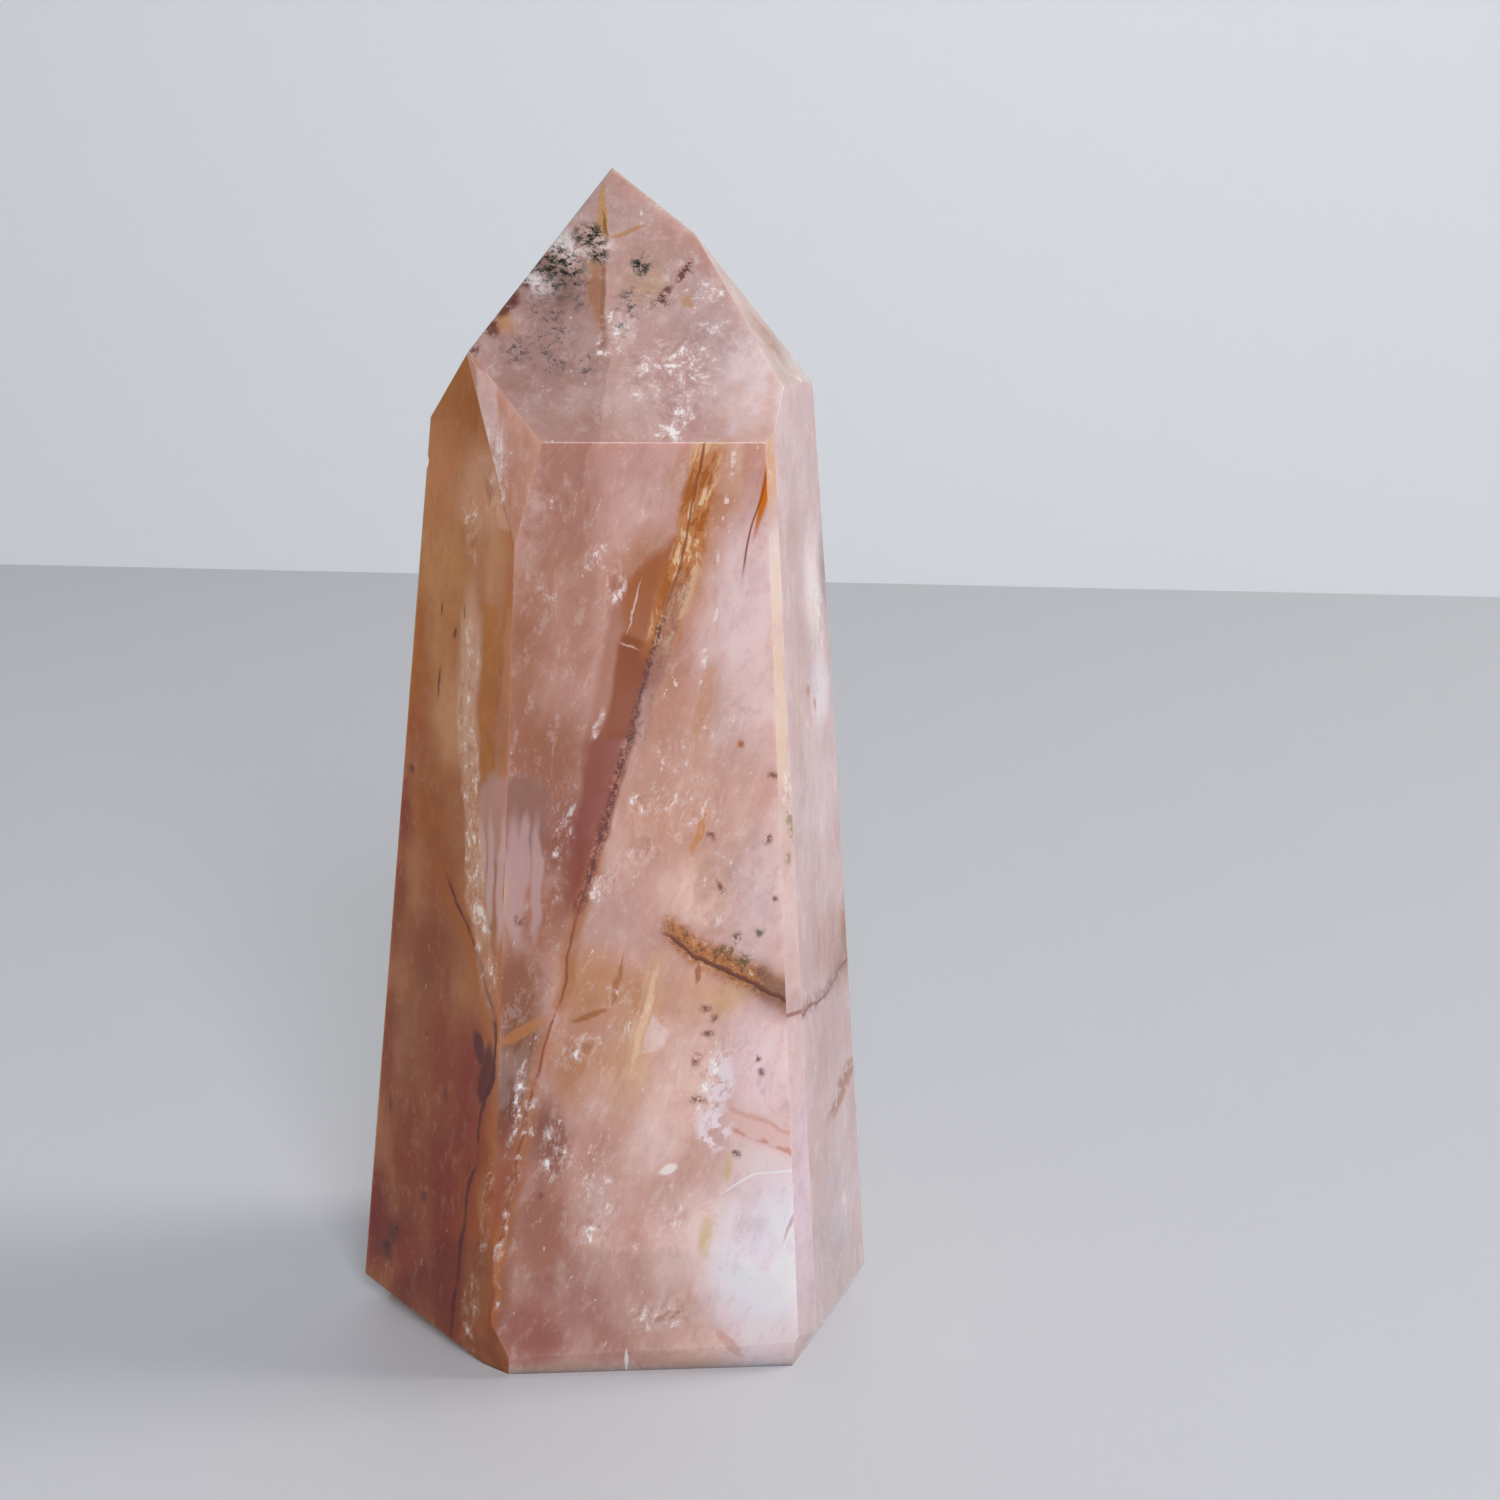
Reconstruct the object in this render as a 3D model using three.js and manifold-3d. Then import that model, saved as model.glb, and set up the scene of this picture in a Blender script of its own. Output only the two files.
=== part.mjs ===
// A rose quartz tower, the kind sold as a generator: one piece of stone, ground by hand to flat faces
// that rise from a flat foot, lean in a little and meet in a point. Millimetres, +Z up. The tower
// stands on z = 0 with the middle of its box over the origin, and its wide front face looks along -Y.

import * as THREE from "three";
import { mergeVertices } from "three/addons/utils/BufferGeometryUtils.js";
import Module from "manifold-3d";

const wasm = await Module();
wasm.setup();

// The rough block that the faces are ground on, larger than the tower on every side. It and the
// waste cut from it sit off centre by a share of their size, so that the line between the two
// triangles of a box's side never crosses the tower.
const BLOCK = 200;
const OFF_CENTRE = 0.25;

// The point: its height over the foot, and the spot of the ground that it stands above.
const HEIGHT = 82.8;
const POINT_X = -1.3;
const POINT_Y = 9.4;

// Side faces, which reach down to the foot. azimuth is the way a face looks, in degrees, with 0 along
// +X and 90 along +Y. foot is its distance from the upright line through x = 0, y = 0 where it would
// meet the ground, and lean is how far it tips inward from upright.
const SIDE_FACES = {
  front: { azimuth: -85.0, foot: 9.6, lean: 3.45 },
  left: { azimuth: -136.6, foot: 13.03, lean: 3.65 },
  backLeft: { azimuth: 143.0, foot: 15.94, lean: 4.35 },
  back: { azimuth: 94.0, foot: 20.0, lean: 4.4 },
  backRight: { azimuth: 38.0, foot: 17.75, lean: 3.5 },
  right: { azimuth: -18.5, foot: 16.56, lean: 4.7 },
  frontRightStrip: { azimuth: -46.3, foot: 15.56, lean: 4.65 },
};

// Narrow faces that take off an edge near the shoulders and run out before they reach the foot.
const SHOULDER_FACES = {
  frontLeftShoulder: { azimuth: -120.3, foot: 21.05, lean: 11.6 },
  rightShoulder: { azimuth: 10.0, foot: 20.22, lean: 5.57 },
};

// Tip faces. rise is how far above the point a face would cross the upright line through it: a face
// with no rise runs up to the point, and one with some rise stops short of it.
const TIP_FACES = {
  tipFront: { azimuth: -85.5, lean: 40.9, rise: 0 },
  tipLeft: { azimuth: 176.7, lean: 33.7, rise: 0 },
  tipBack: { azimuth: 104.0, lean: 33.0, rise: 0.6 },
  tipBackRight: { azimuth: 43.4, lean: 25.5, rise: 0 },
  tipRight: { azimuth: -18.4, lean: 41.2, rise: 3.3 },
};

// Bevels round the foot, which keep its edge from chipping. They tuck in under the side faces, so
// their lean is negative. The one at the left corner rounds it off.
const FOOT_BEVELS = {
  front: { azimuth: -84.2, foot: 8.86, lean: -19 },
  frontLeftCorner: { azimuth: -124.8, foot: 11.81, lean: -14 },
  left: { azimuth: -140.4, foot: 12.05, lean: -42 },
  backLeft: { azimuth: 143.0, foot: 14.6, lean: -30 },
  back: { azimuth: 94.0, foot: 18.7, lean: -30 },
  backRight: { azimuth: 38.0, foot: 16.6, lean: -28 },
  right: { azimuth: -20.6, foot: 15.0, lean: -26.2 },
  frontRightStrip: { azimuth: -46.3, foot: 14.59, lean: -15.5 },
};

// Small flakes gone from the upright edges: the two side faces that the edge lies between, the height
// of the middle of the flake, the radius of its hollow and how deep that bites into the edge.
const EDGE_FLAKES = [
  { faces: ["left", "backLeft"], height: 63.1, radius: 0.9, bite: 0.16 },
];
const FLAKE_DETAIL = 1;

function radians(degrees) {
  return THREE.MathUtils.degToRad(degrees);
}

// A closed geometry as a solid that can be cut.
function solidOf(geometry) {
  const bare = geometry.clone();
  bare.deleteAttribute("normal");
  bare.deleteAttribute("uv");
  const merged = mergeVertices(bare);
  return new wasm.Manifold(new wasm.Mesh({
    numProp: 3,
    vertProperties: new Float32Array(merged.attributes.position.array),
    triVerts: new Uint32Array(merged.index.array),
  }));
}

// The solid's surface as a geometry.
function geometryOf(solid) {
  const mesh = solid.getMesh();
  const geometry = new THREE.BufferGeometry();
  geometry.setAttribute("position", new THREE.BufferAttribute(mesh.vertProperties, 3));
  geometry.setIndex(new THREE.BufferAttribute(mesh.triVerts, 1));
  return geometry;
}

// The waste outside one ground face: a block whose near side lies on the face, which looks along
// azimuth, tips inward by lean and passes through the given place.
function waste(azimuth, lean, x, y, z) {
  const side = 2 * BLOCK;
  const geometry = new THREE.BoxGeometry(BLOCK, side, side);
  geometry.translate(BLOCK / 2, OFF_CENTRE * side, -OFF_CENTRE * side);
  geometry.rotateY(-radians(lean));
  geometry.rotateZ(radians(azimuth));
  geometry.translate(x, y, z);
  return solidOf(geometry);
}

function sideWaste(face) {
  const turn = radians(face.azimuth);
  return waste(face.azimuth, face.lean, face.foot * Math.cos(turn), face.foot * Math.sin(turn), 0);
}

function tipWaste(face) {
  return waste(face.azimuth, face.lean, POINT_X, POINT_Y, HEIGHT + face.rise);
}

// The place where the edge between two side faces passes a height, and the way that edge looks.
function onEdge(first, second, height) {
  const [a, b] = [first, second].map((face) => ({
    x: Math.cos(radians(face.azimuth)),
    y: Math.sin(radians(face.azimuth)),
    reach: face.foot - height * Math.tan(radians(face.lean)),
  }));
  const cross = a.x * b.y - a.y * b.x;
  const place = new THREE.Vector3(
    (a.reach * b.y - b.reach * a.y) / cross,
    (b.reach * a.x - a.reach * b.x) / cross,
    height,
  );
  const outward = new THREE.Vector3(a.x + b.x, a.y + b.y, 0).normalize();
  return { place, outward };
}

function flakeWaste(flake) {
  const [first, second] = flake.faces.map((name) => SIDE_FACES[name]);
  const { place, outward } = onEdge(first, second, flake.height);
  const geometry = new THREE.IcosahedronGeometry(flake.radius, FLAKE_DETAIL);
  const middle = place.addScaledVector(outward, flake.radius - flake.bite);
  geometry.translate(middle.x, middle.y, middle.z);
  return solidOf(geometry);
}

function roughBlock() {
  const geometry = new THREE.BoxGeometry(BLOCK, BLOCK, BLOCK);
  geometry.translate(OFF_CENTRE * BLOCK, OFF_CENTRE * BLOCK, BLOCK / 2);
  return solidOf(geometry);
}

function quartzPoint() {
  let stone = roughBlock();
  for (const faces of [SIDE_FACES, SHOULDER_FACES, FOOT_BEVELS]) {
    for (const face of Object.values(faces)) {
      stone = stone.subtract(sideWaste(face));
    }
  }
  for (const face of Object.values(TIP_FACES)) {
    stone = stone.subtract(tipWaste(face));
  }
  for (const flake of EDGE_FLAKES) {
    stone = stone.subtract(flakeWaste(flake));
  }
  return geometryOf(stone);
}

// Moves the geometry so that the middle of its box is over the origin.
function centred(geometry) {
  geometry.computeBoundingBox();
  const middle = geometry.boundingBox.getCenter(new THREE.Vector3());
  geometry.translate(-middle.x, -middle.y, 0);
  return geometry;
}

const roseQuartz = new THREE.MeshStandardMaterial({ color: 0xc99a90, roughness: 0.12, metalness: 0 });

const tower = new THREE.Group();
const point = new THREE.Mesh(centred(quartzPoint()), roseQuartz);
point.name = "quartz_point";
tower.add(point);

export default tower;
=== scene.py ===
# %% [markdown]
# # A rose quartz tower, dressed over its solid
# The object is one piece of milky rose quartz, ground to flat faces and polished. The solid is already
# right in shape, so this script gives it what the stone has from a step away: worn edges, cloudy
# translucent rose quartz with rust-coloured seams, white veils of tiny cracks and dark fern-like specks.

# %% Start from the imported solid
import math
from collections import namedtuple

import bmesh
import bpy
from mathutils import Matrix, Vector


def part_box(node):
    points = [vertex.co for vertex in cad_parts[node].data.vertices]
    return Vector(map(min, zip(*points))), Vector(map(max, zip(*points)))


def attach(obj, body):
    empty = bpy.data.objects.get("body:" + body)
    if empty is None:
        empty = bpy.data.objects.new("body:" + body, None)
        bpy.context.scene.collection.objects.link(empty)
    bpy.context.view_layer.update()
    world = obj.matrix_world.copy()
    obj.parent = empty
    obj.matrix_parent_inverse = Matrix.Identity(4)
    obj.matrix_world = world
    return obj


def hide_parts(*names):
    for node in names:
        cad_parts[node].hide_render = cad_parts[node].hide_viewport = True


MM = 0.001
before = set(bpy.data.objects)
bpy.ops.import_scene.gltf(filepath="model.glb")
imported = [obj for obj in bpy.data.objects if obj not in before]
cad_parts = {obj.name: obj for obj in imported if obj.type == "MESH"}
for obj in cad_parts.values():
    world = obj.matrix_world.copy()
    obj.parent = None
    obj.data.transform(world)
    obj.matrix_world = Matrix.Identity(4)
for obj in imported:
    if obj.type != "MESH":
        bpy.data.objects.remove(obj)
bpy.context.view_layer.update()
stone_low, stone_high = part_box("quartz_point")
stone_height = stone_high.z - stone_low.z
print("solid", [round(v / MM, 2) for v in (stone_high - stone_low)], "mm")

# %% [markdown]
# The camera stands close in front of the tower, at the height of its point, and looks down on it. Its
# place was worked out from where the edges of the flat faces fall, and it is rolled by a touch.

# %% Camera
CAMERA_PLACE = Vector((9.23, -154.49, 81.25)) * MM
CAMERA_DOWN = 14.2
CAMERA_ROLL = 1.25
LENS = 52.8
SENSOR = 36.0
NEAREST = 10 * MM
FARTHEST = 20.0

scene = bpy.context.scene
camera_data = bpy.data.cameras.new("camera")
camera_data.lens = LENS
camera_data.sensor_width = SENSOR
camera_data.clip_start = NEAREST
camera_data.clip_end = FARTHEST
camera = bpy.data.objects.new("camera", camera_data)
camera.matrix_world = (
    Matrix.Translation(CAMERA_PLACE)
    @ Matrix.Rotation(math.radians(90 - CAMERA_DOWN), 4, "X")
    @ Matrix.Rotation(math.radians(CAMERA_ROLL), 4, "Z")
)
scene.collection.objects.link(camera)
scene.camera = camera
print("camera", [round(v / MM, 1) for v in CAMERA_PLACE], "mm")

# %% [markdown]
# Colours are written as sRGB hex values, the way a colour picker shows them, and one function turns
# them into the linear values that shaders use. Another small one adds a node, sets it, links it to the
# outputs that feed it and hands back the output that the next node needs.

# %% Helpers for colours and nodes
Finish = namedtuple("Finish", "material shader")


def linear(hex_colour):
    """An sRGB hex colour as linear red, green and blue, with full alpha."""
    channels = [int(hex_colour[i : i + 2], 16) / 255 for i in (1, 3, 5)]
    return tuple(c / 12.92 if c <= 0.04045 else ((c + 0.055) / 1.055) ** 2.4 for c in channels) + (1.0,)


def add(kind, inputs=None, give=0, tree=None, **settings):
    """Adds a node to the tree of the outputs that feed it, or to the given tree where none does."""
    inputs = inputs or {}
    feeds = {name: value for name, value in inputs.items() if isinstance(value, bpy.types.NodeSocket)}
    tree = tree or next(iter(feeds.values())).id_data
    node = tree.nodes.new("ShaderNode" + kind)
    for name, value in settings.items():
        setattr(node, name, value)
    for name, value in inputs.items():
        if name in feeds:
            tree.links.new(value, node.inputs[name])
        else:
            node.inputs[name].default_value = value
    return node.outputs[give]


def new_material(name):
    """An empty material with its shader node, already linked to the output."""
    material = bpy.data.materials.new(name)
    material.use_nodes = True
    tree = material.node_tree
    tree.nodes.clear()
    surface = add("BsdfPrincipled", tree=tree)
    tree.links.new(surface, tree.nodes.new("ShaderNodeOutputMaterial").inputs["Surface"])
    return Finish(material, surface.node)


print("rose quartz in linear light", [round(c, 3) for c in linear("#c99a90")])

# %% [markdown]
# A painted floor and a pale wall stand in for the studio. Both are plain, and the wall is far enough
# behind that the camera can be walked round the stone in front of it.

# %% Floor and backdrop
FLOOR_HALF = 3.0
WALL_BEHIND = 316 * MM
WALL_HALF = 1.2
WALL_HEIGHT = 1.0
FLOOR_PAINT = "#b8babf"
WALL_PAINT = "#dcdfe1"
PAINT_ROUGHNESS = 0.55


def plain_sheet(name, size, place, paint):
    """A flat square of the given side, moved and turned by the matrix place."""
    mesh = bpy.data.meshes.new(name)
    sheet = bmesh.new()
    bmesh.ops.create_grid(sheet, x_segments=1, y_segments=1, size=size / 2, matrix=place)
    sheet.to_mesh(mesh)
    sheet.free()
    obj = bpy.data.objects.new(name, mesh)
    scene.collection.objects.link(obj)
    finish = new_material(name + "_paint")
    finish.shader.inputs["Base Color"].default_value = linear(paint)
    finish.shader.inputs["Roughness"].default_value = PAINT_ROUGHNESS
    mesh.materials.append(finish.material)


standing = Matrix.Translation((0, WALL_BEHIND, WALL_HEIGHT / 2)) @ Matrix.Rotation(math.radians(90), 4, "X")
plain_sheet("floor", 2 * FLOOR_HALF, Matrix.Identity(4), FLOOR_PAINT)
plain_sheet("backdrop", 2 * WALL_HALF, standing, WALL_PAINT)
print("floor and wall, the wall", round(WALL_BEHIND / MM), "mm behind the stone")

# %% [markdown]
# The daylight comes from the right and a little behind, so the right faces are pale and glow, and a
# soft shadow falls to the left. A weaker light fills in from the camera's side, and the room adds a little.

# %% Light
DAYLIGHT_PLACE = (1.00, 0.27, 0.82)
DAYLIGHT_SIZE = 0.65
DAYLIGHT_WATTS = 16.0
FILL_PLACE = (0.12, -0.62, 0.40)
FILL_SIZE = 0.35
FILL_WATTS = 5.2
ROOM_LIGHT = 0.28


def soft_light(name, place, size, watts, colour):
    """A square lamp that looks at the middle of the stone."""
    data = bpy.data.lights.new(name, "AREA")
    data.shape = "SQUARE"
    data.size = size
    data.energy = watts
    data.color = linear(colour)[:3]
    lamp = bpy.data.objects.new(name, data)
    lamp.location = place
    aim = Vector((0, 0, stone_height / 2)) - Vector(place)
    lamp.rotation_mode = "QUATERNION"
    lamp.rotation_quaternion = aim.to_track_quat("-Z", "Y")
    scene.collection.objects.link(lamp)


soft_light("daylight", DAYLIGHT_PLACE, DAYLIGHT_SIZE, DAYLIGHT_WATTS, "#fffaf2")
soft_light("fill", FILL_PLACE, FILL_SIZE, FILL_WATTS, "#fbfaff")

world = bpy.data.worlds.new("room")
world.use_nodes = True
scene.world = world
room = world.node_tree.nodes["Background"]
room.inputs["Color"].default_value = linear("#e9eef2")
room.inputs["Strength"].default_value = ROOM_LIGHT
scene.view_settings.view_transform = "Standard"
print("daylight", DAYLIGHT_WATTS, "W, fill", FILL_WATTS, "W, room", ROOM_LIGHT)

# %% [markdown]
# Rose quartz is painted face by face, because each ground face cuts across the veils and seams of the
# stone at its own angle. A face's pattern is drawn in millimetres: how far to the right, seen from
# outside, and how far up from the foot. Both read the object's own coordinates, turned to the face.
# Every length, distance and softness from here to the backs is in millimetres, and every turn in degrees.

# %% Places on a face, in millimetres
STONE_MM = stone_height / MM
ACROSS_REACH = 20.0
NOISE_SWING = 4
FACE_WAYS = {
    # the azimuth that each ground face looks along and how far it leans back, in degrees
    "front": (-85.0, 3.45),
    "left": (-136.6, 3.65),
    "tip": (-85.5, 40.9),
    "right": (-18.5, 4.7),
    "strip": (-46.3, 4.65),
    "shoulder": (-120.3, 11.6),
    "tip_right": (-18.4, 41.2),
    "back": (94.0, 4.4),
    "tip_back": (104.0, 33.0),
    "back_left": (143.0, 4.35),
    "tip_left": (176.7, 33.7),
    "back_right": (38.0, 3.5),
    "tip_back_right": (43.4, 25.5),
}
Place = namedtuple("Place", "spot across up")


def measured(spot):
    """A place with its two distances read off once, for everything that is drawn there."""
    across = add("SeparateXYZ", {"Vector": spot}, give="X")
    return Place(spot, across, across.node.outputs["Z"])


def face_place(tree, azimuth):
    """Object coordinates in mm, turned so that X runs across the face that looks along azimuth."""
    turned = {
        "Vector": add("TexCoord", give="Object", tree=tree),
        "Rotation": (0, 0, -math.radians(90 + azimuth)),
        "Scale": (1 / MM, 1 / MM, 1 / MM),
    }
    return measured(add("Mapping", turned))


def bend(place, length, reach):
    """The place moved about by smooth noise, in bends of a length and by about as much as reach."""
    noise = add("TexNoise", {"Vector": place.spot, "Scale": 1 / length, "Detail": 2.0}, give="Color")
    middled = add("VectorMath", {0: noise, 1: (0.5, 0.5, 0.5)}, operation="SUBTRACT")
    moved = {0: middled, 1: (NOISE_SWING * reach,) * 3, 2: place.spot}
    return measured(add("VectorMath", moved, operation="MULTIPLY_ADD"))


def joined(*masks, operation="MULTIPLY"):
    """Several masks as one: where all of them hold, or with MAXIMUM where any of them does."""
    held = masks[0]
    for mask in masks[1:]:
        held = add("Math", {0: held, 1: mask}, operation=operation)
    return held


def within(value, low=None, high=None, soft=0.5):
    """1 where a value is between low and high, fading to 0 over soft beyond them. Either may be left out."""
    sides = []
    if low is not None:
        sides.append({"Value": value, "From Min": low - soft, "From Max": low})
    if high is not None:
        sides.append({"Value": value, "From Min": high + soft, "From Max": high})
    return joined(*[add("MapRange", side, interpolation_type="SMOOTHSTEP") for side in sides])


def lay(below, colour, *masks, amount=1.0):
    """Lays a colour over what is below where all the masks hold."""
    factor = add("Math", {0: joined(*masks), 1: amount}, operation="MULTIPLY")
    over = {0: factor, 6: below, 7: linear(colour)}
    return add("Mix", over, give=2, data_type="RGBA", clamp_factor=True)


print("patterns cover", round(STONE_MM, 1), "mm of height and", 2 * ACROSS_REACH, "mm across")

# %% [markdown]
# Inside the stone are clouds of milky quartz, patches of crushed crystal with glitter painted in as bright
# chips, seams and cracks where rust crept in, and straight-sided panes, the pale ones painted reflections
# where a buried crack throws the light back. Each kind gets one small function that draws its mask.

# %% What is inside the stone
ENDLESS = 1e4
TAPER_WIDTH, TAPER_REACH = 1.5, 1.1


def oval(place, at, half, turn=0, soft=0.8):
    """1 inside an oval with its middle at and half sizes in mm, falling to 0 at its rim."""
    fitted = {
        "Vector": place.spot,
        "Location": (at[0], 0, at[1]),
        "Rotation": (0, math.radians(turn), 0),
        "Scale": (half[0], ENDLESS, half[1]),
    }
    from_middle = add("Mapping", fitted, vector_type="TEXTURE")
    inward = add("TexGradient", {"Vector": from_middle}, give="Fac", gradient_type="SPHERICAL")
    return within(inward, low=soft, soft=soft)


def ovals(place, spots, soft=0.8):
    """Any of several ovals, each given by its middle, half sizes and turn."""
    held = oval(place, *spots[0], soft=soft)
    for spot in spots[1:]:
        held = joined(held, oval(place, *spot, soft=soft), operation="MAXIMUM")
    return held


def stroke(place, start, end, half):
    """A short mark between two places that thins out to both ends, half so many mm wide in its middle."""
    (x0, z0), (x1, z1) = start, end
    lean = math.degrees(math.atan2(x1 - x0, z1 - z0))
    reach = math.hypot(x1 - x0, z1 - z0) / 2
    middle = ((x0 + x1) / 2, (z0 + z1) / 2)
    return oval(place, middle, (half * TAPER_WIDTH, reach * TAPER_REACH), turn=lean, soft=0.5)


def pane(place, corners, soft=0.3):
    """1 inside straight sides through corners listed anticlockwise, with soft edges."""
    inside = None
    for (x0, z0), (x1, z1) in zip(corners, corners[1:] + corners[:1]):
        length = math.hypot(x1 - x0, z1 - z0)
        along_x, along_z = (z0 - z1) / length, (x1 - x0) / length
        start = along_x * x0 + along_z * z0
        sideways = add("Math", {0: place.across, 1: along_x}, operation="MULTIPLY")
        depth = add("Math", {0: place.up, 1: along_z, 2: sideways}, operation="MULTIPLY_ADD")
        side = within(depth, low=start + soft / 2, soft=soft)
        inside = side if inside is None else joined(inside, side)
    return inside


def lumps(place, size, turn=0, times=1, detail=4.0, rough=0.55):
    """Noise with lumps of a size in mm, drawn out so many times along a line that leans by turn degrees."""
    turned = {"Vector": place.spot, "Rotation": (0, math.radians(turn), 0), "Scale": (1, 1, times)}
    drawn_out = add("Mapping", turned, vector_type="TEXTURE")
    spread = {"Vector": drawn_out, "Scale": 1 / size, "Detail": detail, "Roughness": rough}
    return add("TexNoise", spread)


def cloud(place, size, low, high, **shape):
    """Lumps as a mask: 0 where their noise is below low, 1 where it is above high."""
    return within(lumps(place, size, **shape), low=high, soft=high - low)


def drawn_curve(value, spots):
    """A curve through listed points, given and read as shares from 0 to 1."""
    share = add("FloatCurve", {"Value": value})
    mapping = share.node.mapping
    drawn = mapping.curves[0]
    drawn.points[0].location = spots[0]
    drawn.points[-1].location = spots[-1]
    for spot in spots[1:-1]:
        drawn.points.new(*spot)
    for point in drawn.points:
        point.handle_type = "AUTO_CLAMPED"
    mapping.update()
    return share


def right_of(place, path):
    """How far to the right of a rising seam a place is, in mm. path runs from the foot up."""
    up = add("Math", {0: place.up, 1: STONE_MM}, operation="DIVIDE")
    spots = [(height / STONE_MM, x / (2 * ACROSS_REACH) + 0.5) for x, height in path]
    share = drawn_curve(up, spots)
    seam = add("Math", {0: share, 1: 2 * ACROSS_REACH, 2: -ACROSS_REACH}, operation="MULTIPLY_ADD")
    return add("Math", {0: place.across, 1: seam}, operation="SUBTRACT")


def above(place, path):
    """How far above a crack that crosses the face a place is, in mm. path runs from left to right."""
    along = add("Math", {0: place.across, 1: 1 / (2 * ACROSS_REACH), 2: 0.5}, operation="MULTIPLY_ADD")
    spots = [(x / (2 * ACROSS_REACH) + 0.5, height / STONE_MM) for x, height in path]
    share = drawn_curve(along, spots)
    crack = add("Math", {0: share, 1: STONE_MM}, operation="MULTIPLY")
    return add("Math", {0: place.up, 1: crack}, operation="SUBTRACT")


print("a seam's curve covers", ACROSS_REACH, "mm to each side of a face's middle")

# %% [markdown]
# Rose quartz: an opaque-looking pink at a glance, yet light goes several millimetres into it and comes
# out rosier. Partly clear transmission lets the far faces show as faint steps of tone, and scattering
# gives the milk. Quartz bends light by 1.544, and the polish leaves only a little roughness.

# %% Rose quartz
QUARTZ_IOR = 1.544
POLISH = 0.11
CLEAR_SHARE = 0.4
MILK_DEPTH = 3 * MM
MILK_SPREAD = (1.0, 0.6, 0.5)
GROWTH_LEAN = 16
LOOSE_BEND = (4.0, 0.35)
RAGGED_BEND = (0.7, 0.09)
DRIFTS = {"size": 3.0, "times": 1.6, "detail": 6.0, "rough": 0.62}
FIBRES = {"size": 0.8, "times": 2.2, "detail": 7.0, "rough": 0.8}
GLINTS = {"size": 0.8, "times": 2.4, "detail": 3.0, "rough": 0.7}
GLINT_TURN = 8
CRUSHED = {"times": 1.8, "detail": 6.0, "rough": 0.75}
finishes = {}


def start_face(face, body, clouds):
    """A new finish for one face: its plain colour with broad soft clouds, among them the front's painted glow
    and the right face's painted reflections, and three places to draw on.
    """
    finish = new_material("polished_rose_quartz_" + face)
    tree = finish.material.node_tree
    place = face_place(tree, FACE_WAYS[face][0])
    loose = bend(place, *LOOSE_BEND)
    ragged = bend(loose, *RAGGED_BEND)
    paint = add("RGB", tree=tree)
    paint.default_value = linear(body)
    for colour, amount, *spot in clouds:
        paint = lay(paint, colour, oval(ragged, *spot), amount=amount)
    return finish, paint, place, loose, ragged


def lay_panes(paint, place, panes):
    """Lays straight-sided panes, each given by its colour, amount, softness and corners."""
    for colour, amount, soft, corners in panes:
        paint = lay(paint, colour, pane(place, corners, soft), amount=amount)
    return paint


def veined(paint, place, lean=GROWTH_LEAN, light="#fff0ea", dark="#8a4a34"):
    """Faint drifts and fibres all through the stone, drawn out along its growth, and a few painted glints of
    light.
    """
    drifts = lumps(place, turn=lean, **DRIFTS)
    paint = lay(paint, light, within(drifts, low=0.66, soft=0.16), amount=0.14)
    paint = lay(paint, dark, within(drifts, high=0.36, soft=0.16), amount=0.14)
    fibres = lumps(place, turn=lean, **FIBRES)
    paint = lay(paint, light, within(fibres, low=0.60, soft=0.06), amount=0.17)
    paint = lay(paint, dark, within(fibres, high=0.41, soft=0.06), amount=0.12)
    painted_glints = lumps(place, turn=lean + GLINT_TURN, **GLINTS)
    return lay(paint, light, within(painted_glints, low=0.715, soft=0.02), amount=0.6)


def crystals(
    paint, place, zone, size=0.8, lean=GROWTH_LEAN, share=1.0, chip="#ffffff", haze="#f2ddd4", dull="#9c6048"
):
    """Crushed crystal in a zone: a pale haze, small white chips painted as bright as glints of light, and
    dull gaps between them.
    """
    crushed = lumps(place, size, turn=lean, **CRUSHED)
    paint = lay(paint, haze, zone, within(crushed, low=0.57, soft=0.12), amount=0.45 * share)
    paint = lay(paint, dull, zone, within(crushed, high=0.42, soft=0.05), amount=0.35 * share)
    return lay(paint, chip, zone, within(crushed, low=0.60, soft=0.025), amount=0.5 + 0.5 * share)


def polished(finish, paint):
    """The finish as polished, half milky quartz in the given paint."""
    sockets = finish.shader.inputs
    paint.id_data.links.new(paint, sockets["Base Color"])
    sockets["Roughness"].default_value = POLISH
    sockets["IOR"].default_value = QUARTZ_IOR
    sockets["Transmission Weight"].default_value = CLEAR_SHARE
    sockets["Subsurface Weight"].default_value = 1.0
    sockets["Subsurface Radius"].default_value = MILK_SPREAD
    sockets["Subsurface Scale"].default_value = MILK_DEPTH
    return finish.material


print("quartz bends light by", QUARTZ_IOR, "and scatters it over", round(MILK_DEPTH / MM, 1), "mm")
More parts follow.
